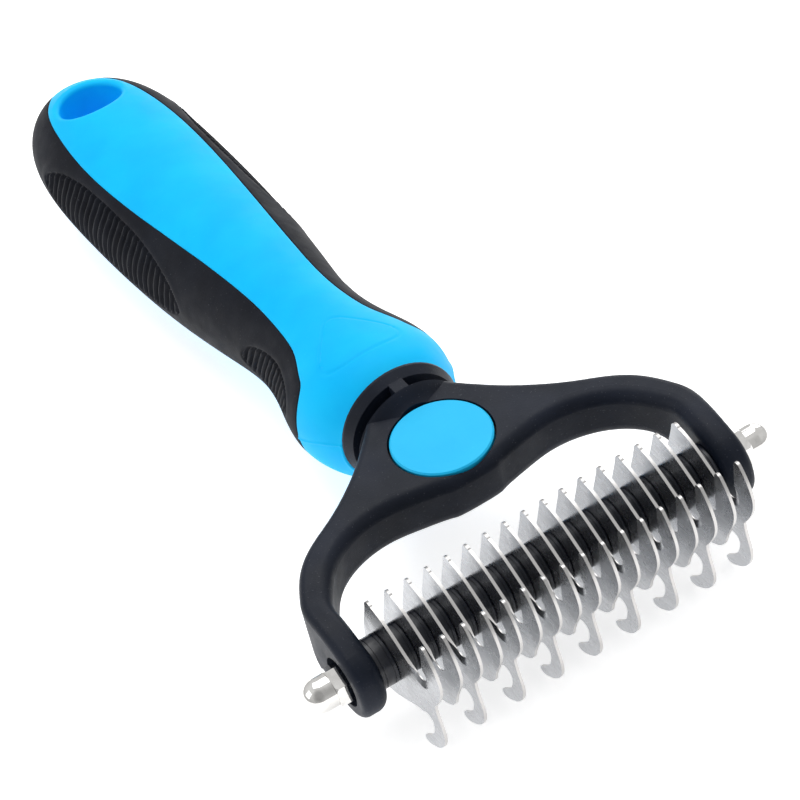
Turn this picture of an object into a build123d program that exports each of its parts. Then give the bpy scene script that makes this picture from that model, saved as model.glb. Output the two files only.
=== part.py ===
"""Undercoat rake: a stirrup head holding a stack of toothed blades on a clamped rod, on a soft handle.

Millimetres, +Z up. Everything is drawn about the blade rod's axis, with +X along the rod and +Y towards
the handle's end. The head and the blades lean forward from the handle by HEAD_PITCH. The finished pieces
move to the resting frame: z = 0 is the table, which the handle's belly touches and the lower hooks
clear by 0.1 mm, and x = y = 0 is the middle of the footprint.
"""

import os
from math import cos, pi, sin

from build123d import *

os.makedirs("parts", exist_ok=True)

# ---- driving dimensions ----
BLADE_COUNT = 17
BLADE_PITCH = 4.15
BLADE_THICKNESS = 0.6
NOTCH_CENTRE = (-13.81, 7.80)   # (y, z) of the round notch behind the front tooth
NOTCH_RADIUS = 2.13
BEVEL_WIDTH = 1.35          # the ground cutting edge round the notch, on one face of each blade
BEVEL_DEPTH = 0.42
ROD_RADIUS = 2.0
SPACER_RADIUS = 5.0
RUNNING_GAP = 0.05          # radial, blades, spacers and nuts on the rod
HEAD_PITCH = 2.6            # degrees that the head plate leans forward from the handle's line
ROD_HEIGHT = 14.95          # rod axis above the table
TEETH_FRONT = 22.4          # reach of the front teeth ahead of the rod
HANDLE_END = 197.3          # handle's far end behind the rod

# head frame
HEAD_TOP = 9.6
HEAD_BOTTOM = -1.0
HEAD_EDGE_RADIUS = 1.4
HEAD_LIP_RADIUS = 2.6       # the softer top edge along the inside of the bow
ARM_STRAIGHT = 8.0          # the arms run straight forward from here
BOSS_RADIUS = 7.8
BOSS_OUTER = 42.7           # half width over the two bosses
NUT_RECESS_RADIUS = 5.0
NUT_RECESS_FLOOR = 40.6
ROD_HOLE_RADIUS = 2.1
NECK_CENTRE_Z = 0.9
NECK_RADIUS = 12.1
NECK_FRONT = 38.6           # the round neck starts inside the plate here
NECK_FRONT_RADIUS = 8.4
COLLAR_RADIUS = 12.7
COLLAR_START = 47.1
COLLAR_END = 49.6
COLLAR_FRONT_RADIUS = 11.7  # the collar widens like a cone from here to its back edge
COLLAR_RIM = 0.5            # width of the straight rim beside the handle
NECK_SLOT_START = 44.2
NECK_SLOT_DEPTH = 3.2
NECK_RIB_WIDTH = 3.0        # ribs that bridge the slot at the top and below the middle
NECK_RIB_SINK = 0.35        # how far the top rib stays under the neck's surface
NECK_WEB_Z = -6.0           # height of the side ribs from the neck's centre
TANG_HALF_WIDTH = 5.6       # the stiff core inside the soft handle
TANG_HALF_HEIGHT = 7.0
TANG_CENTRE_Z = 0.7
TANG_START = 48.0
TANG_END = 160.0

# badge
BADGE_Y = 31.3
BADGE_RADIUS = 9.9
BADGE_RECESS_RADIUS = 10.35
BADGE_RECESS_DEPTH = 2.2
BADGE_THICKNESS = 2.5
BADGE_CHAMFER = 0.3

# cap nut and washer
WASHER_RADIUS = 4.5
WASHER_BORE_RADIUS = 2.1
WASHER_THICKNESS = 0.8
NUT_ACROSS_FLATS = 7.0
NUT_HEX_HEIGHT = 3.8
NUT_DOME_RADIUS = 3.4
NUT_DOME_CENTRE = 6.05      # from the nut's seat to the centre of its dome
NUT_BORE_DEPTH = 7.2
ROD_HALF_LENGTH = 48.0

# spacers, rod and handle
SPACER_CHAMFER = 0.2
SPACER_GROOVE_AT = 0.75     # from each end of a spacer to its turned groove
SPACER_GROOVE_WIDTH = 0.22
SPACER_GROOVE_DEPTH = 0.2
ROD_CHAMFER = 0.4
HANGING_HOLE_Y = 179.5
HANGING_HOLE_RADIUS = 7.1
END_CAP_Y = 196.2           # centre of the ellipsoid that closes the handle's end
END_CAP_Z = 0.9
END_CAP_RADII = (3.6, 1.1, 3.1)

# ---- derived sizes ----
SPACER_LENGTH = BLADE_PITCH - BLADE_THICKNESS
BOSS_INNER = (BLADE_COUNT + 1) / 2 * BLADE_PITCH - BLADE_THICKNESS / 2
NUT_SEAT = NUT_RECESS_FLOOR + WASHER_THICKNESS
MID_Y = (HANDLE_END - TEETH_FRONT) / 2
HEAD_TILT = Rotation(HEAD_PITCH, 0, 0)
TO_TABLE = Location((0, -MID_Y, ROD_HEIGHT))

# Handle sections: distance behind the rod, half width, top and underside relative to the rod axis.
HANDLE_SECTIONS = [
    (47.0, 11.9, 13.8, -8.2),
    (49.5, 12.8, 14.6, -9.2),
    (52.0, 14.1, 15.6, -11.0),
    (57.0, 16.0, 16.4, -12.7),
    (62.0, 16.6, 16.1, -13.0),
    (72.0, 14.7, 14.8, -12.0),
    (84.0, 12.7, 14.1, -11.7),
    (100.0, 13.9, 14.2, -13.0),
    (115.0, 15.8, 14.2, -14.3),
    (135.0, 17.3, 14.1, -14.95),
    (155.0, 17.8, 14.1, -14.6),
    (172.0, 17.3, 13.6, -13.2),
    (184.0, 14.9, 11.9, -10.6),
    (190.0, 11.8, 9.7, -8.0),
    (194.6, 7.2, 6.5, -4.6),
    (196.7, 3.2, 3.6, -1.8),
]

# Half width of the centre body seen from above, where it borders the side grips.
GRIP_BORDER = [
    (60.6, 18.5),
    (61.6, 15.2),
    (64.5, 11.9),
    (70.0, 9.6),
    (78.0, 8.0),
    (88.0, 7.4),
    (100.0, 7.9),
    (115.0, 9.2),
    (131.0, 10.7),
    (148.0, 11.9),
    (162.0, 12.0),
    (176.0, 10.9),
    (188.0, 8.9),
    (199.0, 6.2),
]


def placed(solid, tilted=False):
    """Moves a finished piece from the rod's frame to the resting frame."""
    if tilted:
        solid = HEAD_TILT * solid
    return TO_TABLE * solid


def save(node, solid, tilted=False):
    """Writes one node, on the table frame, to its own STEP file."""
    export_step(placed(solid, tilted), f"parts/{node}.step")


def region(*curves):
    """The face inside a closed chain of curves."""
    return make_face(Wire([edge for curve in curves for edge in curve.edges()]))


def along_x(sketch, start, end):
    """Extrudes a sketch drawn in (y, z) from x = start to x = end."""
    plane = Plane(origin=(start, 0, 0), x_dir=(0, 1, 0), z_dir=(1, 0, 0))
    return extrude(plane * sketch, end - start)


def along_y(sketch, start, end, centre_z=0.0):
    """Extrudes a sketch drawn in (x, z) from y = start to y = end."""
    plane = Plane(origin=(0, end, centre_z), x_dir=(1, 0, 0), z_dir=(0, -1, 0))
    return extrude(plane * sketch, end - start)


def x_cylinder(radius, start, end):
    """A cylinder on the rod axis from x = start to x = end."""
    return along_x(Circle(radius), start, end)


def x_tube(outer, inner, start, end):
    """A tube on the rod axis."""
    return along_x(Circle(outer) - Circle(inner), start, end)


# ---- blades ----
def rear_edge():
    """The blade's back, shared by both kinds: from under the rod round to the upper point."""
    return [
        Spline([(2.2, -10.2), (6.3, -5.6), (7.2, 0.0), (5.6, 5.4), (3.3, 11.3)]),
        ThreePointArc((3.3, 11.3), (2.3, 12.4), (0.9, 12.2)),
        Spline([(0.9, 12.2), (-4.2, 10.6), (-8.9, 7.9), (-12.4, 6.2)]),
        ThreePointArc((-12.4, 6.2), (-14.2, 5.7), (-15.7, 6.8)),
    ]


def front_tooth(foot):
    """The tooth that points up at the front, and the lobe below it, down to the given point."""
    return [
        Line((-15.7, 6.8), (-17.3, 16.8)),
        ThreePointArc((-17.3, 16.8), (-18.2, 17.6), (-19.3, 17.0)),
        Spline([(-19.3, 17.0), (-21.3, 13.4), (-21.9, 10.2), (-20.6, 6.2), foot]),
    ]


def hooked_outline():
    """Outline of a blade with a lower hook whose tip points back to the handle."""
    return rear_edge() + front_tooth((-17.5, 1.7)) + [
        Spline([(-17.5, 1.7), (-17.8, -2.4), (-18.2, -5.4), (-17.2, -8.9), (-14.9, -11.7), (-12.2, -13.5)]),
        Spline([(-12.2, -13.5), (-11.1, -14.1), (-9.9, -14.4)]),
        ThreePointArc((-9.9, -14.4), (-9.1, -13.9), (-9.4, -12.9)),
        Spline([
            (-9.4, -12.9),
            (-11.1, -11.5),
            (-13.3, -9.2),
            (-14.6, -6.5),
            (-14.5, -4.4),
            (-13.4, -3.9),
            (-11.8, -4.6),
        ]),
        Spline([(-11.8, -4.6), (-6.0, -6.9), (-1.6, -9.0), (2.2, -10.2)]),
    ]


def plain_outline():
    """Outline of a blade with no hook: the front lobe rounds off below the tooth."""
    return rear_edge() + front_tooth((-17.6, 0.6)) + [
        Spline([(-17.6, 0.6), (-14.9, -3.1), (-10.4, -5.3), (-6.0, -6.9), (-1.6, -9.0), (2.2, -10.2)]),
    ]


def notch_grind(face_x, outward):
    """The cone ground away round the notch, opening towards the blade's face at x = face_x."""
    spare = 0.3
    height = BEVEL_DEPTH + spare
    wide_radius = NOTCH_RADIUS + BEVEL_WIDTH * height / BEVEL_DEPTH
    start = Plane(
        origin=(face_x - outward * BEVEL_DEPTH, *NOTCH_CENTRE), x_dir=(0, 1, 0), z_dir=(outward, 0, 0))
    cone = Cone(NOTCH_RADIUS, wide_radius, height, align=(Align.CENTER, Align.CENTER, Align.MIN))
    return start * cone


def blade(index):
    """Blade number index, counted from 1 at the left end of the rod.

    Odd ones have a hook, and are ground on their left face. Even ones are ground on the right.
    """
    hooked = index % 2 == 1
    outline = hooked_outline() if hooked else plain_outline()
    face = region(*outline) - Circle(ROD_RADIUS + RUNNING_GAP)
    left = (index - (BLADE_COUNT + 1) / 2) * BLADE_PITCH - BLADE_THICKNESS / 2
    right = left + BLADE_THICKNESS
    plate = along_x(face, left, right)
    return plate - (notch_grind(left, -1) if hooked else notch_grind(right, 1))


def spacer(index):
    """Spacer number index, from 1 beside the left boss: a tube with a fine groove near each end."""
    start = -BOSS_INNER + (index - 1) * BLADE_PITCH
    end = start + SPACER_LENGTH
    body = x_tube(SPACER_RADIUS, ROD_RADIUS + RUNNING_GAP, start, end)
    rims = body.edges().filter_by(GeomType.CIRCLE).group_by(SortBy.RADIUS)[-1]
    body = chamfer(rims, SPACER_CHAMFER)
    for groove in (start + SPACER_GROOVE_AT, end - SPACER_GROOVE_AT - SPACER_GROOVE_WIDTH):
        floor_radius = SPACER_RADIUS - SPACER_GROOVE_DEPTH
        body -= x_tube(SPACER_RADIUS + 1, floor_radius, groove, groove + SPACER_GROOVE_WIDTH)
    return body


# ---- rod, washers and cap nuts ----
def blade_rod():
    """The clamping rod, chamfered at both ends."""
    rod = x_cylinder(ROD_RADIUS, -ROD_HALF_LENGTH, ROD_HALF_LENGTH)
    return chamfer(rod.edges().filter_by(GeomType.CIRCLE), ROD_CHAMFER)


def washer():
    """The right-hand washer, in the bottom of the boss's recess."""
    return x_tube(WASHER_RADIUS, WASHER_BORE_RADIUS, NUT_RECESS_FLOOR, NUT_SEAT)


def cap_nut():
    """The right-hand domed cap nut: a hexagon with chamfered corners, a barrel and a round end."""
    hex_end = NUT_SEAT + NUT_HEX_HEIGHT
    dome_centre = NUT_SEAT + NUT_DOME_CENTRE
    corner_radius = NUT_ACROSS_FLATS / 2 / cos(pi / 6)
    hexagon = along_x(RegularPolygon(corner_radius, 6, rotation=24), NUT_SEAT, hex_end)
    rounding = x_cylinder(corner_radius, NUT_SEAT, hex_end)
    rounding = chamfer(rounding.edges().filter_by(GeomType.CIRCLE), 0.45, 0.25)
    barrel = x_cylinder(NUT_DOME_RADIUS, NUT_SEAT, dome_centre)
    dome = Pos(dome_centre, 0, 0) * Sphere(NUT_DOME_RADIUS)
    thread_bore = x_cylinder(ROD_RADIUS + RUNNING_GAP, NUT_SEAT - 1, NUT_SEAT + NUT_BORE_DEPTH)
    return (hexagon & rounding) + barrel + dome - thread_bore


# ---- head ----
def head_plan():
    """The stirrup seen from above: a wide bow with two arms, and the opening behind the blades."""
    outer_points = [
        (9.0, 44.5),
        (11.6, 41.4),
        (16.3, 36.4),
        (21.0, 32.3),
        (27.2, 27.9),
        (33.2, 24.3),
        (38.0, 19.8),
        (41.2, 14.4),
        (BOSS_OUTER, ARM_STRAIGHT),
    ]
    inner_points = [
        (BOSS_INNER, ARM_STRAIGHT),
        (35.6, 12.4),
        (31.6, 17.8),
        (25.0, 21.8),
        (18.0, 22.9),
        (12.0, 22.0),
        (6.2, 20.6),
        (0.0, 19.9),
    ]
    back = Line((0, 44.5), outer_points[0])
    outer = Spline(outer_points, tangents=[(0.6, -0.8), (0, -1)])
    arm = Polyline([outer_points[-1], (BOSS_OUTER, -12), (BOSS_INNER, -12), inner_points[0]])
    inner = Spline(inner_points, tangents=[(0, 1), (-1, 0)])
    half = region(back, outer, arm, inner, Line(inner_points[-1], (0, 44.5)))
    return half + mirror(half, Plane.YZ)


def head_side():
    """The head seen from the side: a flat plate whose arms drop round the rod as bosses."""
    top = Line((50.0, HEAD_TOP), (ARM_STRAIGHT, HEAD_TOP))
    nose_top = (-2.6, 7.36)
    nose_under = (1.8, -7.59)
    under_start = (18.0, HEAD_BOTTOM)
    fall = Spline([(ARM_STRAIGHT, HEAD_TOP), (2.6, 8.9), nose_top], tangents=[(-1, 0), (-7.36, -2.6)])
    nose = ThreePointArc(nose_top, (-BOSS_RADIUS, -0.1), nose_under)
    rise = Spline([nose_under, (7.6, -6.2), (12.4, -3.4), under_start], tangents=[(7.59, 1.8), (1, 0)])
    under = Line(under_start, (50.0, HEAD_BOTTOM))
    back = Line((50.0, HEAD_BOTTOM), (50.0, HEAD_TOP))
    return region(top, fall, nose, rise, under, back)


def on_lip(edge):
    """Whether a curved edge lies on the inner top edge of the bow, or beside its rounding."""
    middle = edge @ 0.5
    inside = abs(middle.X) < BOSS_INNER - 0.1 and ARM_STRAIGHT - 0.1 < middle.Y < 25
    return inside and middle.Z > HEAD_TOP - HEAD_LIP_RADIUS - 0.1


def bow():
    """The bow with its two arms: a soft inner top edge, and all its other edges rounded."""
    solid = extrude(Pos(0, 0, -20) * head_plan(), 40) & along_x(head_side(), -60, 60)
    curved = [edge for edge in solid.edges() if edge.geom_type != GeomType.LINE]
    solid = fillet([edge for edge in curved if on_lip(edge)], HEAD_LIP_RADIUS)
    curved = [edge for edge in solid.edges() if edge.geom_type != GeomType.LINE]
    return fillet([edge for edge in curved if not on_lip(edge)], HEAD_EDGE_RADIUS)


def neck():
    """The round neck behind the bow: a shoulder, a slotted waist and the collar that meets the handle."""
    slot_base = NECK_RADIUS - NECK_SLOT_DEPTH
    front = (NECK_FRONT_RADIUS, NECK_FRONT)
    waist = (NECK_RADIUS, NECK_SLOT_START)
    shoulder_points = [front, (8.9, 40.6), (10.0, 42.3), waist]
    shoulder = Spline(shoulder_points, tangents=[(0.1, 1), (0.7, 1)])
    groove_and_collar = Polyline([
        waist,
        (slot_base, NECK_SLOT_START),
        (slot_base, COLLAR_START),
        (COLLAR_FRONT_RADIUS, COLLAR_START),
        (COLLAR_RADIUS, COLLAR_END - COLLAR_RIM),
        (COLLAR_RADIUS, COLLAR_END),
        (0.0, COLLAR_END),
        (0.0, NECK_FRONT),
    ])
    turned = revolve(region(Line((0.0, NECK_FRONT), front), shoulder, groove_and_collar), Axis.Y)
    rib_start = NECK_SLOT_START - 0.3
    rib_end = COLLAR_START + 1
    reach = NECK_RADIUS - NECK_RIB_SINK
    rib = along_y(Rectangle(NECK_RIB_WIDTH, 2 * reach), rib_start, rib_end)
    web = along_y(Rectangle(2 * reach, NECK_RIB_WIDTH), rib_start, rib_end, NECK_WEB_Z)
    web = web & along_y(Circle(reach), rib_start, rib_end)
    return Pos(0, 0, NECK_CENTRE_Z) * (turned + rib + web)


def head_frame():
    """Bow, neck and the tang inside the handle, one moulding, with its rod holes and badge recess."""
    head = bow() + neck()
    head -= x_cylinder(ROD_HOLE_RADIUS, -60, 60)
    for start, end in ((-60, -NUT_RECESS_FLOOR), (NUT_RECESS_FLOOR, 60)):
        head -= x_cylinder(NUT_RECESS_RADIUS, start, end)
    recess = Pos(0, BADGE_Y, HEAD_TOP - BADGE_RECESS_DEPTH) * Cylinder(
        BADGE_RECESS_RADIUS, 10, align=(Align.CENTER, Align.CENTER, Align.MIN))
    head -= recess
    tang = along_y(Ellipse(TANG_HALF_WIDTH, TANG_HALF_HEIGHT), TANG_START, TANG_END, TANG_CENTRE_Z)
    return HEAD_TILT * head + tang


def badge():
    """The round insert on top of the head."""
    bottom = HEAD_TOP - BADGE_RECESS_DEPTH
    disc = Pos(0, BADGE_Y, bottom) * Cylinder(
        BADGE_RADIUS, BADGE_THICKNESS, align=(Align.CENTER, Align.CENTER, Align.MIN))
    rim = disc.edges().filter_by(GeomType.CIRCLE).sort_by(Axis.Z)[-1]
    return chamfer(rim, BADGE_CHAMFER)


# ---- handle ----
def handle_envelope():
    """The whole outer shape of the handle, lofted through its oval sections."""
    sections = []
    for y, half_width, top, under in HANDLE_SECTIONS:
        plane = Plane(origin=(0, y, (top + under) / 2), x_dir=(1, 0, 0), z_dir=(0, -1, 0))
        sections.append(plane * Ellipse(half_width, (top - under) / 2))
    envelope = loft(sections)
    end_cap = Pos(0, END_CAP_Y, END_CAP_Z) * scale(Sphere(1), by=END_CAP_RADII)
    ahead_of_collar = Pos(0, COLLAR_END, 0) * Box(
        80, 60, 80, align=(Align.CENTER, Align.MAX, Align.CENTER))
    return envelope + end_cap - HEAD_TILT * ahead_of_collar


def centre_column():
    """A tall block whose sides follow the border between the centre body and the side grips."""
    right = [(x, y) for y, x in GRIP_BORDER]
    left = [(-x, y) for x, y in right]
    edge_right = Spline(right)
    edge_left = Spline(left)
    start = GRIP_BORDER[0][0]
    far = Line(right[-1], left[-1])
    near = Polyline([left[0], (-25, start), (-25, 40), (25, 40), (25, start), right[0]])
    return extrude(Pos(0, 0, -30) * region(edge_right, far, edge_left, near), 60)


def main():
    """Builds every node and writes it out."""
    head = head_frame()
    save("head_frame", head)
    save("head_badge", badge(), tilted=True)

    envelope = handle_envelope()
    column = centre_column()
    hanging_hole = Pos(0, HANGING_HOLE_Y, 0) * Cylinder(HANGING_HOLE_RADIUS, 60)
    body = (envelope & column) - hanging_hole - head
    save("handle_body", body)
    sides = envelope - column
    for side in sides.solids():
        if side.volume < 1:
            continue
        name = "side_grip_left" if side.center().X < 0 else "side_grip_right"
        save(name, side)

    save("blade_rod", blade_rod(), tilted=True)
    for index in range(1, BLADE_COUNT + 1):
        save(f"blade_{index:02d}", blade(index), tilted=True)
    for index in range(1, BLADE_COUNT + 2):
        save(f"spacer_{index:02d}", spacer(index), tilted=True)
    for name, piece in (("washer", washer()), ("cap_nut", cap_nut())):
        save(f"{name}_right", piece, tilted=True)
        save(f"{name}_left", mirror(piece, Plane.YZ), tilted=True)


main()
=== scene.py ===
"""Undercoat rake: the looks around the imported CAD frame.

The soft handle and its two side grips are built here as dense moulded shells. Every other node keeps its
CAD shape and gets a procedural material. Tables are in millimetres, measured from the blade rod's axis
(+Y to the handle's end, +Z up), and everything made is in metres on the CAD's frame.
"""

import math

import bmesh
import bpy
import numpy as np
from mathutils import Matrix, Vector, kdtree


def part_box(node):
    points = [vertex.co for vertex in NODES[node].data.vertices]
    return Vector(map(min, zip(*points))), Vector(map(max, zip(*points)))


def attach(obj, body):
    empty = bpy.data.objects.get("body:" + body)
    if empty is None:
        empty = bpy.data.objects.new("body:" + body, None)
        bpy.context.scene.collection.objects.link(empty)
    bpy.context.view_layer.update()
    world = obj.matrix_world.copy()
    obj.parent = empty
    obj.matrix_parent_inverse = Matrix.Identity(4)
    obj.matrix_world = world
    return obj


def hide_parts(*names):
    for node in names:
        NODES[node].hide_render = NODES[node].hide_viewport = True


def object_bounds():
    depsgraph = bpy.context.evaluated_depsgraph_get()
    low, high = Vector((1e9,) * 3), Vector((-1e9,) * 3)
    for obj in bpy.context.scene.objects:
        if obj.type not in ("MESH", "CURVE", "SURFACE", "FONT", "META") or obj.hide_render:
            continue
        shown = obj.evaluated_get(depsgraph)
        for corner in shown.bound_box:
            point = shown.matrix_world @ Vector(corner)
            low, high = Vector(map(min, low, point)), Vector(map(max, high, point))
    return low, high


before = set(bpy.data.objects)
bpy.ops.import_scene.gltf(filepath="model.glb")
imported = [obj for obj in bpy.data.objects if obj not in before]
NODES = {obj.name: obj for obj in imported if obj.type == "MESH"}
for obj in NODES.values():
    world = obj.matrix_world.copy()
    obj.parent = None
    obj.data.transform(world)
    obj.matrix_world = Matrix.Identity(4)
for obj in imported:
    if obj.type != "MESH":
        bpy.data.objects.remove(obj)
cad_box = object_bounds()

MM = 0.001
rod_low, rod_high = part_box("blade_rod")
ROD = np.array((rod_low + rod_high) / 2)

# ---- handle dimensions, millimetres from the rod axis ----
HANDLE_END = 197.3
HANDLE_FRONT = 49.68        # where the soft body meets the head's collar
FRONT_LEAN = 0.0454         # the head leans, so the front face is this much out of square
FRONT_ROUND = 0.5
# distance behind the rod, half width, top, underside
HANDLE_SECTIONS = [
    (47.0, 11.9, 13.8, -8.2),
    (49.5, 12.8, 14.6, -9.2),
    (52.0, 14.1, 15.6, -11.0),
    (57.0, 16.0, 16.4, -12.7),
    (62.0, 16.6, 16.1, -13.0),
    (72.0, 14.7, 14.8, -12.0),
    (84.0, 12.7, 14.1, -11.7),
    (100.0, 13.9, 14.2, -13.0),
    (115.0, 15.8, 14.2, -14.3),
    (135.0, 17.3, 14.1, -14.95),
    (155.0, 17.8, 14.1, -14.6),
    (172.0, 17.3, 13.6, -13.2),
    (184.0, 14.9, 11.9, -10.6),
    (190.0, 11.8, 9.7, -8.0),
    (194.6, 7.2, 6.5, -4.6),
    (196.7, 3.2, 3.6, -1.8),
    (HANDLE_END, 0.0, 0.9, 0.9),
]
# distance behind the rod, half width of the blue centre seen from above. Near the end it is narrower than in
# the CAD, so that the black wraps round.
GRIP_BORDER = [
    (60.6, 18.5),
    (61.6, 15.2),
    (64.5, 11.9),
    (70.0, 9.6),
    (78.0, 8.0),
    (88.0, 7.4),
    (100.0, 7.9),
    (115.0, 9.2),
    (131.0, 10.7),
    (148.0, 11.9),
    (162.0, 12.0),
    (174.0, 10.9),
    (182.0, 9.3),
    (186.0, 7.8),
    (189.0, 6.1),
    (192.0, 4.2),
    (195.0, 2.3),
    (197.2, 0.8),
]
SEAM_DEPTH = 0.28           # both sides of the seam round down to this depth
SEAM_ROUND = 0.45
SEAM_GAP = 0.03
BED_DEPTH = 2.2             # how far the blue body is sunk under a grip
GRIP_THICKNESS = 2.0
GRIP_RAISE = 0.05           # a grip's skin stands this far over the bare handle
GRIP_ARC = 15.5             # length along a grip's skin for each radian round it
HOLE_Y = 179.5
HOLE_RADIUS = 7.1
HOLE_ROUND = 1.5            # radius of the hanging hole's rim
HOLE_CORE = 4.9             # surface inside this radius is cut away

# Outline of the shallow groove on the flare's top, (x, y).
TRIANGLE = [
    (0.0, 73.6), (5.0, 66.6), (9.4, 60.4), (7.2, 56.8), (0.0, 56.2), (-7.2, 56.8), (-9.4, 60.4), (-5.0, 66.6),
]
GROOVE_DEPTH = 0.16
GROOVE_WIDTH = 0.32
# The mould's parting line on the flare: (distance behind the rod, height), and its raised flash.
PARTING_LINE = [(49.3, 4.5), (54.4, 3.4), (59.5, 1.7), (61.5, 1.2)]
FLASH_HEIGHT = 0.2
FLASH_WIDTH = 0.2
# Ribbed panels of a grip: (distance behind the rod, degrees above the side), counter-clockwise.
REAR_PANEL = [
    (173.6, 16.0), (171.6, 22.4), (169.0, 27.6), (166.1, 32.4), (162.7, 35.6), (157.3, 39.1), (151.6, 40.2),
    (145.2, 41.0), (139.9, 40.4), (133.6, 39.8), (129.1, 37.3), (124.4, 33.7), (120.0, 28.1), (116.5, 21.7),
    (114.6, 14.8), (113.2, 6.9), (113.4, -1.0), (117.0, -7.5), (125.0, -11.0), (135.0, -13.5), (145.0, -14.5),
    (155.0, -13.0), (164.0, -9.0), (170.5, -2.0), (173.6, 7.0),
]
FRONT_PANEL = [
    (91.7, 3.5), (90.1, 12.1), (87.9, 19.7), (85.0, 24.8), (81.7, 29.1), (77.9, 33.0), (73.8, 34.0),
    (70.2, 31.6), (68.0, 28.2), (66.2, 21.8), (65.7, 12.0), (66.8, 3.0), (70.0, -3.0), (75.0, -8.0),
    (82.0, -11.0), (88.0, -8.5), (91.6, -4.0),
]
# outline, distance between ribs, and where they start behind the rod
PANELS = [(REAR_PANEL, 2.17, 113.6), (FRONT_PANEL, 1.9, 66.0)]
PANEL_DEPTH = 1.25
PANEL_LIP = 0.10            # a low swelling just outside a panel
RIB_HEIGHT = 1.0
RIB_CREST = 0.25            # half width of a rib at its top, and at its foot
RIB_FOOT = 0.6
# The ribs' lean, (distance behind the rod, lean): a rib's lower end lies up to half of it further back.
RIB_SLANT = [(69, 13.5), (92, 13.5), (112, 5.5), (176, 5.5), (188, 0)]
BODY_COLUMNS = 161
BED_COLUMNS = 14
GRIP_COLUMNS = 111
GRIP_INNER_COLUMNS = 16


# ---- small numeric tools ----
def spline(xs, ys):
    """A natural cubic spline through the points, as a function of an array."""
    xs, ys = np.array(xs, float), np.array(ys, float)
    h = np.diff(xs)
    n = len(xs)
    lhs, rhs = np.eye(n), np.zeros(n)
    for i in range(1, n - 1):
        lhs[i, i - 1:i + 2] = h[i - 1], 2 * (h[i - 1] + h[i]), h[i]
        rhs[i] = 6 * ((ys[i + 1] - ys[i]) / h[i] - (ys[i] - ys[i - 1]) / h[i - 1])
    bend = np.linalg.solve(lhs, rhs)

    def at(x):
        x = np.clip(x, xs[0], xs[-1])
        k = np.clip(np.searchsorted(xs, x) - 1, 0, n - 2)
        a, b = (xs[k + 1] - x) / h[k], (x - xs[k]) / h[k]
        curve = ((a**3 - a) * bend[k] + (b**3 - b) * bend[k + 1]) * h[k]**2 / 6
        return a * ys[k] + b * ys[k + 1] + curve
    return at


def ease(x, low, high):
    """0 below low, 1 above high and smooth between them."""
    t = np.clip((x - low) / (high - low), 0, 1)
    return t * t * (3 - 2 * t)


def rounded(points, times=3):
    """A closed outline with its corners cut, again and again."""
    p = np.array(points, float)
    for _ in range(times):
        ahead = np.roll(p, -1, axis=0)
        p = np.stack([0.75 * p + 0.25 * ahead, 0.25 * p + 0.75 * ahead], 1).reshape(-1, 2)
    return p


def outline_distance(u, v, outline):
    """Distance from each (u, v) to a closed outline, positive inside."""
    best = np.full(u.shape, 1e9)
    inside = np.zeros(u.shape, bool)
    for (ax, ay), (bx, by) in zip(outline, np.roll(outline, -1, axis=0)):
        dx, dy = bx - ax, by - ay
        t = np.clip(((u - ax) * dx + (v - ay) * dy) / (dx * dx + dy * dy), 0, 1)
        best = np.minimum(best, np.hypot(u - ax - t * dx, v - ay - t * dy))
        if ay != by:
            inside ^= ((ay > v) != (by > v)) & (u < (bx - ax) * (v - ay) / (by - ay) + ax)
    return np.where(inside, best, -best)


# ---- the handle's outer surface ----
tail_root = [math.sqrt(HANDLE_END - row[0]) for row in HANDLE_SECTIONS][::-1]
half_width_at, top_at, under_at = (
    spline(tail_root, [row[i] for row in HANDLE_SECTIONS][::-1]) for i in (1, 2, 3))
border_x_at = spline([p[0] for p in GRIP_BORDER], [p[1] for p in GRIP_BORDER])


def section(y):
    """Half width, middle height and half height of the handle at distance y behind the rod."""
    root = np.sqrt(np.maximum(HANDLE_END - y, 0))
    top, under = top_at(root), under_at(root)
    return np.maximum(half_width_at(root), 0), (top + under) / 2, np.maximum((top - under) / 2, 0)


def surface(y, angle, sink):
    """Points of the handle's skin. angle is from the top, to +X, and sink is depth below the skin."""
    a, mid, c = section(y)
    nx, nz = c * np.sin(angle), a * np.cos(angle)
    size = np.maximum(np.hypot(nx, nz), 1e-6)
    depth = np.minimum(sink, 0.9 * np.minimum(a, c))
    x = a * np.sin(angle) - depth * nx / size
    return np.stack([x, y, mid + c * np.cos(angle) - depth * nz / size], -1)


def border_angle(y):
    """Angle from the top at which the blue centre ends and the grip begins."""
    a = section(y)[0]
    width = np.where(y < GRIP_BORDER[0][0], 99.0, border_x_at(y))
    return np.arcsin(np.clip(width / np.maximum(a, 1e-3), 0, 1))


fine_y = np.arange(GRIP_BORDER[0][0], HANDLE_END - 0.01, 0.01)
with_grip = fine_y[border_angle(fine_y) < math.pi / 2 - 1e-4]
GRIP_START, GRIP_END = with_grip[0], with_grip[-1]

border_line = surface(with_grip, border_angle(with_grip), np.zeros(len(with_grip)))
steps = np.r_[0, np.cumsum(np.linalg.norm(np.diff(border_line, axis=0), axis=1))]
even = np.arange(0, steps[-1], 0.08)
border_y = np.interp(even, steps, with_grip)
tree = kdtree.KDTree(4 * len(border_y))
for corner in range(4):
    angle = border_angle(border_y)
    angle = math.pi - angle if corner // 2 else angle
    for i, p in enumerate(surface(border_y, angle if corner % 2 else -angle, np.zeros(len(border_y)))):
        tree.insert(p, corner * len(border_y) + i)
tree.balance()


def seam_distance(points):
    """Distance from each point to the line where blue and black meet."""
    flat = points.reshape(-1, 3)
    return np.array([tree.find(p)[2] for p in flat]).reshape(points.shape[:-1])


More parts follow.
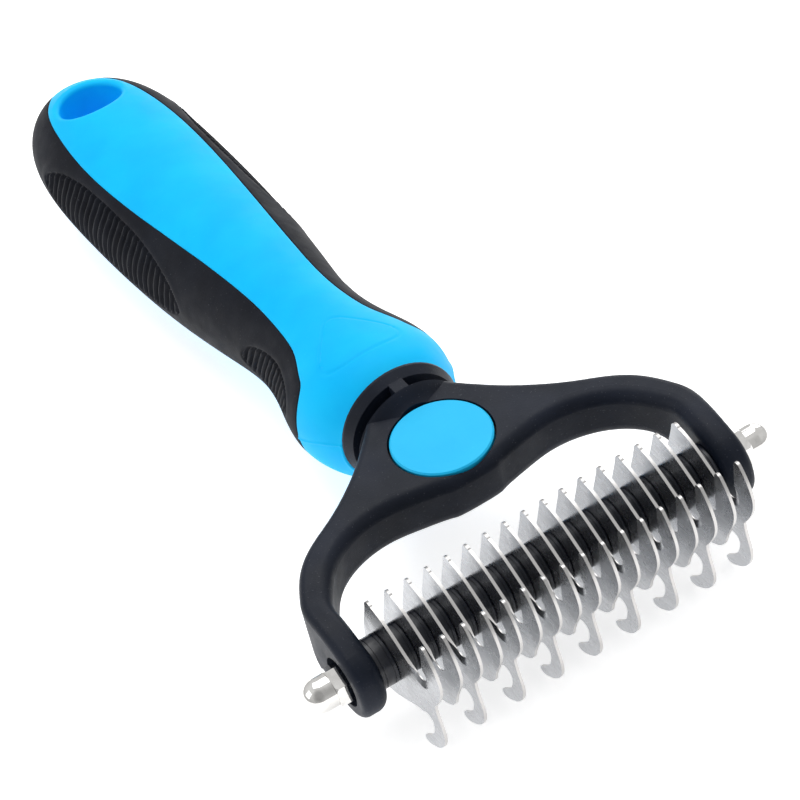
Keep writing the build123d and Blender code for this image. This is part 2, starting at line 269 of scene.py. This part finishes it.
def seam_sink(distance):
    """How far the skin rounds down beside the seam."""
    t = np.clip(1 - distance / SEAM_ROUND, 0, 1)
    return SEAM_DEPTH * (1 - np.sqrt(1 - t * t))


def ring_mesh(name, rings, caps):
    """A closed mesh from rings of points, all of the same count, closed by a point at each end."""
    rows, columns = rings.shape[:2]
    grid = np.arange(rows * columns).reshape(rows, columns)
    along = np.roll(grid, -1, axis=1)
    quads = np.stack([grid[:-1], along[:-1], along[1:], grid[1:]], -1).reshape(-1, 4)
    points = np.concatenate([rings.reshape(-1, 3), np.array(caps)])
    first, last = len(points) - 2, len(points) - 1
    ends = [(first, b, a) for a, b in zip(grid[0], along[0])]
    ends += [(last, a, b) for a, b in zip(grid[-1], along[-1])]
    mesh = bpy.data.meshes.new(name)
    mesh.from_pydata((points * MM + ROD).tolist(), [], quads.tolist() + ends)
    piece = bpy.data.objects.new(name, mesh)
    bpy.context.scene.collection.objects.link(piece)
    return piece


def clean(piece, cut=None):
    """Merges points that coincide, drops faces the test picks, and shades smoothly."""
    work = bmesh.new()
    work.from_mesh(piece.data)
    if cut is not None:
        doomed = [f for f in work.faces if all(cut(v.co) for v in f.verts)]
        bmesh.ops.delete(work, geom=doomed, context="FACES")
    bmesh.ops.remove_doubles(work, verts=work.verts, dist=2e-6)
    bmesh.ops.dissolve_degenerate(work, edges=work.edges, dist=1e-7)
    bmesh.ops.recalc_face_normals(work, faces=work.faces)
    work.to_mesh(piece.data)
    work.free()
    piece.data.shade_smooth()


# ---- blue body ----
def body_rows():
    """Stations along the handle, close together where the shape turns quickly."""
    runs = [
        np.arange(HANDLE_FRONT + FRONT_ROUND, GRIP_START - 0.15, 0.25),
        np.arange(GRIP_START - 0.15, GRIP_START + 0.6, 0.05),
        np.arange(GRIP_START + 0.6, 76, 0.25),
        np.arange(76, 169, 0.4),
        np.arange(169, 190, 0.26),
        HANDLE_END - np.linspace(math.sqrt(HANDLE_END - 190), 0.1, 46)**2,
    ]
    return np.unique(np.concatenate(runs).round(4))


def open_hole(points, share):
    """Pulls the skin down round the hanging hole: a round rim, then a straight wall to mid height."""
    x, y = points[..., 0], points[..., 1] - HOLE_Y
    far = np.maximum(np.hypot(x, y), 1e-6)
    turn = np.clip((HOLE_RADIUS + HOLE_ROUND - far) / HOLE_ROUND, 0, 1) * math.pi / 2
    new_far = np.where(far < HOLE_RADIUS + HOLE_ROUND, HOLE_RADIUS + HOLE_ROUND * (1 - np.sin(turn)), far)
    drop = HOLE_ROUND * (1 - np.cos(turn))
    middle = section(np.array([HOLE_Y]))[1][0]
    down = ease(HOLE_RADIUS - far, 0, HOLE_RADIUS - HOLE_CORE) * 0.4
    down += 0.6 * np.clip((HOLE_RADIUS - far) / (HOLE_RADIUS - HOLE_CORE), 0, 1)
    lowered = points[..., 2] - share * drop
    moved = points.copy()
    moved[..., 0] = x / far * new_far
    moved[..., 1] = y / far * new_far + HOLE_Y
    moved[..., 2] = lowered + (middle - lowered) * down
    return moved


def blue_body():
    """The blue moulding: full skin on top and underneath, sunk beds under the two grips."""
    across = np.linspace(-1, 1, BODY_COLUMNS)
    across = 1.15 * across - 0.15 * across**5
    y = body_rows()
    limit = border_angle(y)[:, None]
    lean = FRONT_LEAN * (1 - ease(y, HANDLE_FRONT, 58))[:, None]

    def skin(angle, sink):
        rows = np.broadcast_to(y[:, None], angle.shape)
        height = surface(rows, angle, np.zeros(angle.shape))[..., 2]
        return surface(rows - lean * height, angle, sink)

    patches = []
    triangle = rounded(TRIANGLE, 4)
    for under in (False, True):
        angle = across[None, :] * limit
        angle = math.pi - angle if under else angle
        bare = skin(angle, np.zeros(angle.shape))
        sink = seam_sink(seam_distance(bare))
        if not under:
            edge = np.abs(outline_distance(bare[..., 0], bare[..., 1], triangle))
            sink = sink + GROOVE_DEPTH * np.exp(-(edge / GROOVE_WIDTH)**2)
        line_height = np.interp(bare[..., 1], *zip(*PARTING_LINE))
        flash = np.exp(-((bare[..., 2] - line_height) / FLASH_WIDTH)**2)
        sink = sink - FLASH_HEIGHT * flash * (bare[..., 1] < GRIP_START + 0.3)
        patches.append(open_hole(skin(angle, sink), -1 if under else 1))
    top, bottom = patches[0], patches[1][:, ::-1]
    closed = limit[:, 0] > math.pi / 2 - 1e-6
    bottom[closed, 0], bottom[closed, -1] = top[closed, -1], top[closed, 0]
    bed_share = np.linspace(0, 1, BED_COLUMNS)
    opening = (math.pi / 2 - limit) / 0.06
    sides = []
    for sign in (1, -1):
        turn = bed_share[None, :] * (math.pi - 2 * limit) + limit
        depth = BED_DEPTH * np.clip(opening, 0, 1) * np.ones((1, len(bed_share)))
        bed = skin(sign * turn, depth)
        bed[closed] = top[closed, -1 if sign > 0 else 0][:, None]
        sides.append(bed if sign > 0 else bed[:, ::-1])
    rings = np.concatenate([top, sides[0], bottom, sides[1]], 1)

    front = []
    for k in range(5):
        t = k / 5 * math.pi / 2
        inset = FRONT_ROUND * (1 - math.sin(t))
        ring = rings[0].copy()
        middle = np.array([0, 0, section(np.array([HANDLE_FRONT]))[1][0]])
        flat = ring - middle
        flat[:, 1] = 0
        ring -= inset * flat / np.linalg.norm(flat, axis=1)[:, None]
        ring[:, 1] -= FRONT_ROUND * math.cos(t)
        front.append(ring)
    rings = np.concatenate([np.array(front), rings])
    caps = [rings[0].mean(0), (0, HANDLE_END, section(np.array([HANDLE_END]))[1][0])]
    body = ring_mesh("soft_handle", rings, caps)
    middle = section(np.array([HOLE_Y]))[1][0] * MM + ROD[2]
    hole_y = HOLE_Y * MM + ROD[1]
    reach = (HOLE_RADIUS + 0.05) * MM
    clean(body, lambda p: abs(p.z - middle) < 1e-6 and math.hypot(p.x, p.y - hole_y) < reach)
    return body


# ---- side grips ----
def grip_rows():
    """Stations along a grip, fine enough for the ribs inside the two panels."""
    end = GRIP_END - 0.02
    runs = [
        GRIP_START + 0.02 + np.linspace(0, 1, 14)**1.6,
        np.arange(GRIP_START + 1.15, 93.5, 0.17),
        np.arange(93.5, 111.5, 0.4),
        np.arange(111.5, 175.5, 0.19),
        np.arange(175.5, end - 1.2, 0.35),
        end - np.linspace(1.1, 0, 12)**1.4,
    ]
    return np.concatenate(runs)


def grip_relief(y, degrees, row_y, distance):
    """Height of the grip over the bare handle: sunk panels with ribs, and a low lip round each panel."""
    height = GRIP_RAISE * ease(distance, 0.3, 1.6) - seam_sink(distance)
    flat = np.radians(degrees) * GRIP_ARC
    for panel, pitch, start in PANELS:
        outline = rounded([(u, math.radians(v) * GRIP_ARC) for u, v in panel])
        inside = outline_distance(y, flat, outline)
        phase = np.abs((row_y - start) / pitch % 1 - 0.5) * pitch
        rib = 1 - ease(phase, RIB_CREST, RIB_FOOT)
        height -= PANEL_DEPTH * (0.7 * ease(inside, 0, 0.7) + 0.3 * ease(inside, 0, 3.5))
        height += RIB_HEIGHT * rib * ease(inside, 0.15, 0.9)
        lip = 0.2 + 0.8 * ease(flat, 0.0, 6.0)
        height += PANEL_LIP * lip * np.exp(-((inside + 0.8) / 0.9)**2)
    return height


def side_grip(name, sign):
    """One black grip: a closed shell between the two seams, with its inner face near the blue bed."""
    row_y = grip_rows()[:, None]
    even_share = np.linspace(0, 1, GRIP_COLUMNS)[None, :]
    share = even_share - 0.72 / (2 * math.pi) * np.sin(2 * math.pi * even_share)
    slant = np.interp(row_y, *zip((GRIP_START, 0), *RIB_SLANT, (GRIP_END, 0)))
    swing = 0.25 * np.sin(np.clip((share - 0.4) / 0.25, -math.pi / 2, math.pi / 2))
    y = row_y + slant * swing
    limit = border_angle(y)
    gap = np.minimum(SEAM_GAP / 15, 0.3 * (math.pi / 2 - limit))
    angle = (limit + gap) + share * (math.pi - 2 * (limit + gap))
    bare = surface(y, angle, np.zeros(y.shape))
    height = grip_relief(y, 90 - np.degrees(angle), np.broadcast_to(row_y, y.shape), seam_distance(bare))
    height *= np.clip((math.pi / 2 - limit) / 0.05, 0, 1)
    outer = surface(y, angle, -height)
    inner_columns = np.linspace(GRIP_COLUMNS - 1, 0, GRIP_INNER_COLUMNS).round().astype(int)
    thickness = GRIP_THICKNESS * np.clip((math.pi / 2 - limit[:, inner_columns]) / 0.06, 0.05, 1)
    inner = surface(y[:, inner_columns], angle[:, inner_columns], thickness)
    rings = np.concatenate([outer, inner], 1)
    rings[..., 0] *= sign
    caps = [rings[0].mean(0), rings[-1].mean(0)]
    grip = ring_mesh(name, rings, caps)
    clean(grip)
    return grip


# ---- materials ----
def add(graph, kind, settings=None, **inputs):
    """A new node with its settings and inputs. An input is a number, a colour or another node's output."""
    node = graph.nodes.new(kind)
    for key, value in (settings or {}).items():
        setattr(node, key, value)
    for key, value in inputs.items():
        socket = node.inputs[key.replace("_", " ")]
        if isinstance(value, bpy.types.NodeSocket):
            graph.links.new(value, socket)
        else:
            socket.default_value = value
    return node


def ramp(graph, factor, stops):
    """A colour ramp: stops are (position, grey or colour)."""
    node = graph.nodes.new("ShaderNodeValToRGB")
    graph.links.new(factor, node.inputs["Fac"])
    elements = node.color_ramp.elements
    while len(elements) < len(stops):
        elements.new(0.5)
    for element, (position, colour) in zip(elements, stops):
        element.position = position
        element.color = (*colour, 1) if isinstance(colour, tuple) else (colour, colour, colour, 1)
    return node.outputs["Color"]


def mix(graph, factor, a, b):
    """Colour a where the factor is 0 and colour b where it is 1."""
    node = graph.nodes.new("ShaderNodeMix")
    node.data_type = "RGBA"
    for socket, value in ((node.inputs[0], factor), (node.inputs[6], a), (node.inputs[7], b)):
        if isinstance(value, bpy.types.NodeSocket):
            graph.links.new(value, socket)
        else:
            socket.default_value = (*value, 1)
    return node.outputs[2]


def start_material(name):
    """A new material: its graph, its shader and its object coordinates."""
    made = bpy.data.materials.new(name)
    made.use_nodes = True
    graph = made.node_tree
    coordinates = add(graph, "ShaderNodeTexCoord")
    return made, graph, graph.nodes["Principled BSDF"], coordinates


def noise(graph, where, scale, detail=2.0):
    """Noise over the object, scale in cells per metre."""
    return add(graph, "ShaderNodeTexNoise", Vector=where, Scale=scale, Detail=detail).outputs["Fac"]


def bump(graph, shader, height, strength, distance):
    """Fine relief in the shading."""
    node = add(graph, "ShaderNodeBump", Height=height, Strength=strength, Distance=distance)
    graph.links.new(node.outputs["Normal"], shader.inputs["Normal"])


def plastic(name, low, high, speck, rough, grain, speck_level, specular, grain_depth=0.00003, uneven=0.06):
    """Moulded plastic or rubber: mottled colour, sparse light specks, a fine grain and uneven gloss."""
    made, graph, shader, coordinates = start_material(name)
    where = coordinates.outputs["Object"]
    mottle = ramp(graph, noise(graph, where, 90, 4), [(0.35, low), (0.65, high)])
    specks = ramp(graph, noise(graph, where, 2600, 1), [(speck_level, 0.0), (speck_level + 0.05, 1.0)])
    colour = mix(graph, specks, mottle, speck)
    graph.links.new(colour, shader.inputs["Base Color"])
    gloss = ramp(graph, noise(graph, where, 260, 3), [(0.3, rough - uneven), (0.7, rough + uneven)])
    graph.links.new(gloss, shader.inputs["Roughness"])
    bump(graph, shader, noise(graph, where, grain, 2), 0.5, grain_depth)
    shader.inputs["Specular IOR Level"].default_value = specular
    return made


def blade_steel():
    """Stamped sheet steel: satin faces with fine scratches, and plain cut edges."""
    made, graph, shader, coordinates = start_material("blade_steel_satin")
    where = coordinates.outputs["Object"]
    side = add(graph, "ShaderNodeSeparateXYZ", Vector=coordinates.outputs["Normal"])
    across = add(graph, "ShaderNodeMath", {"operation": "ABSOLUTE"})
    graph.links.new(side.outputs["X"], across.inputs[0])
    face = ramp(graph, across.outputs[0], [(0.85, 0.0), (0.95, 1.0)])
    scratch_place = add(graph, "ShaderNodeMapping", Vector=where, Scale=(400.0, 260.0, 5200.0))
    scratches = noise(graph, scratch_place.outputs["Vector"], 1.0, 3)
    tone = ramp(graph, scratches, [(0.3, (0.42, 0.43, 0.45)), (0.7, (0.56, 0.57, 0.59))])
    graph.links.new(mix(graph, face, (0.56, 0.55, 0.54), tone), shader.inputs["Base Color"])
    patches = ramp(graph, noise(graph, where, 320, 3), [(0.3, 0.22), (0.7, 0.32)])
    graph.links.new(mix(graph, face, (0.30, 0.30, 0.30), patches), shader.inputs["Roughness"])
    shader.inputs["Metallic"].default_value = 1.0
    bump(graph, shader, scratches, 0.25, 0.00002)
    return made


def metal(name, low, high, rough):
    """Plain bright or dull metal with small uneven stains and a faint turned texture."""
    made, graph, shader, coordinates = start_material(name)
    where = coordinates.outputs["Object"]
    tone = ramp(graph, noise(graph, where, 500, 3), [(0.35, low), (0.65, high)])
    graph.links.new(tone, shader.inputs["Base Color"])
    gloss = ramp(graph, noise(graph, where, 900, 3), [(0.3, rough * 0.7), (0.7, rough * 1.3)])
    graph.links.new(gloss, shader.inputs["Roughness"])
    shader.inputs["Metallic"].default_value = 1.0
    bump(graph, shader, noise(graph, where, 2600, 2), 0.15, 0.00001)
    return made


def dress(node, made):
    """Gives a CAD node or a piece its material."""
    slots = node.material_slots
    if not slots:
        node.data.materials.append(made)
    for place in slots:
        place.material = made


blue = plastic(
    "handle_blue_rubber", (0.0005, 0.49, 0.96), (0.0015, 0.54, 0.98), (0.02, 0.62, 1.0), rough=0.5,
    grain=3200, speck_level=0.76, specular=0.1)
badge_blue = plastic(
    "badge_blue_plastic", (0.010, 0.52, 0.92), (0.016, 0.56, 0.95), (0.06, 0.64, 1.0), rough=0.36,
    grain=2600, speck_level=0.78, specular=0.2)
grip_black = plastic(
    "grip_black_rubber", (0.004, 0.005, 0.009), (0.007, 0.009, 0.015), (0.035, 0.037, 0.045), rough=0.62,
    grain=2600, speck_level=0.72, specular=0.13, grain_depth=0.00006)
head_black = plastic(
    "head_black_plastic", (0.005, 0.008, 0.016), (0.009, 0.013, 0.025), (0.035, 0.038, 0.05), rough=0.46,
    grain=3000, speck_level=0.70, specular=0.19, grain_depth=0.00006)
spacer_black = plastic(
    "spacer_black_plastic", (0.004, 0.006, 0.013), (0.007, 0.010, 0.020), (0.02, 0.02, 0.03), rough=0.28,
    grain=1800, speck_level=0.80, specular=0.6, grain_depth=0.00001, uneven=0.01)
steel = blade_steel()
chrome = metal("nut_chrome_plate", (0.70, 0.69, 0.67), (0.82, 0.81, 0.79), 0.07)
washer_steel = metal("washer_zinc", (0.45, 0.46, 0.48), (0.60, 0.61, 0.63), 0.34)
rod_steel = metal("rod_bright_steel", (0.48, 0.48, 0.50), (0.62, 0.62, 0.64), 0.28)

for name, node in NODES.items():
    if name.startswith("blade_rod"):
        dress(node, rod_steel)
    elif name.startswith("blade_"):
        dress(node, steel)
    elif name.startswith("spacer_"):
        dress(node, spacer_black)
    elif name.startswith("washer_"):
        dress(node, washer_steel)
    elif name.startswith("cap_nut_"):
        dress(node, chrome)
    elif name == "head_badge":
        dress(node, badge_blue)
    elif name == "head_frame":
        dress(node, head_black)

# ---- the pieces made here ----
handle = blue_body()
dress(handle, blue)
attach(handle, "rake")
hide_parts("handle_body")
for side, sign in (("left", -1), ("right", 1)):
    grip = side_grip(f"ribbed_grip_{side}", sign)
    dress(grip, grip_black)
    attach(grip, "rake")
    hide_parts(f"side_grip_{side}")

# ---- floor, light and camera ----
CAMERA_PLACE = Vector((-0.1739, -0.50015, 0.43645))
CAMERA_RIGHT = Vector((0.8386, -0.5037, -0.2077)).normalized()
CAMERA_FORWARD = Vector((0.2715, 0.7169, -0.6422)).normalized()
CAMERA_LENS = 152.7
FLOOR_HALF = 6.0
FLOOR_DROP = 0.00005        # keeps the floor's plane off the handle's lowest point
FLOOR_GLOW = 0.62
SKY_STRENGTH = 0.78

floor_mesh = bpy.data.meshes.new("studio_floor")
corners = [(x * FLOOR_HALF, y * FLOOR_HALF, 0) for x, y in ((-1, -1), (1, -1), (1, 1), (-1, 1))]
floor_mesh.from_pydata(corners, [], [(0, 1, 2, 3)])
floor = bpy.data.objects.new("studio_floor", floor_mesh)
floor.location.z = cad_box[0].z - FLOOR_DROP
bpy.context.scene.collection.objects.link(floor)
floor_paint, graph, shader, coordinates = start_material("studio_floor_paint")
tone = ramp(graph, noise(graph, coordinates.outputs["Object"], 3, 3), [(0.3, 0.93), (0.7, 0.95)])
graph.links.new(tone, shader.inputs["Base Color"])
shader.inputs["Emission Color"].default_value = (1, 1, 1, 1)
shader.inputs["Emission Strength"].default_value = FLOOR_GLOW
shader.inputs["Roughness"].default_value = 0.8
shader.inputs["Specular IOR Level"].default_value = 0.1
dress(floor, floor_paint)

world = bpy.data.worlds.new("studio")
bpy.context.scene.world = world
world.use_nodes = True
graph = world.node_tree
background = graph.nodes["Background"]
direction = add(graph, "ShaderNodeTexCoord").outputs["Generated"]
height = add(graph, "ShaderNodeSeparateXYZ", Vector=direction).outputs["Z"]
sky = ramp(graph, height, [(0.0, 0.75), (0.6, 1.0)])
# The room is darker on one fixed side, where the photographer stands.
dark_side = add(graph, "ShaderNodeVectorMath", {"operation": "DOT_PRODUCT"})
graph.links.new(direction, dark_side.inputs[0])
dark_side.inputs[1].default_value = -CAMERA_FORWARD
dark_room = ramp(graph, dark_side.outputs["Value"], [(0.70, 1.0), (0.93, 0.50)])
graph.links.new(mix(graph, dark_room, (0.0, 0.0, 0.0), sky), background.inputs["Color"])
background.inputs["Strength"].default_value = SKY_STRENGTH


def area_light(name, place, size, power, aim=(0.0, 0.0, 0.01)):
    """A square soft light that faces the aim point."""
    lamp = bpy.data.lights.new(name, "AREA")
    lamp.size = size
    lamp.energy = power
    made = bpy.data.objects.new(name, lamp)
    made.location = place
    made.rotation_euler = (Vector(aim) - Vector(place)).to_track_quat("-Z", "Y").to_euler()
    bpy.context.scene.collection.objects.link(made)


area_light("soft_top", (0.15, 0.30, 0.95), 0.8, 4.0)
area_light("soft_left", (-0.85, 0.15, 0.5), 0.6, 1.0)
area_light("soft_back_right", (0.7, 0.6, 0.45), 0.6, 1.8)

camera_data = bpy.data.cameras.new("camera")
camera_data.lens = CAMERA_LENS
camera_data.sensor_width = 36.0
camera_data.clip_start, camera_data.clip_end = 0.05, 20.0
camera = bpy.data.objects.new("camera", camera_data)
up = (CAMERA_RIGHT.cross(CAMERA_FORWARD)).normalized()
turn = Matrix((CAMERA_RIGHT, up, -CAMERA_FORWARD)).transposed()
camera.matrix_world = Matrix.Translation(CAMERA_PLACE) @ turn.to_4x4()
bpy.context.scene.collection.objects.link(camera)
bpy.context.scene.camera = camera
bpy.context.scene.view_settings.view_transform = "Standard"
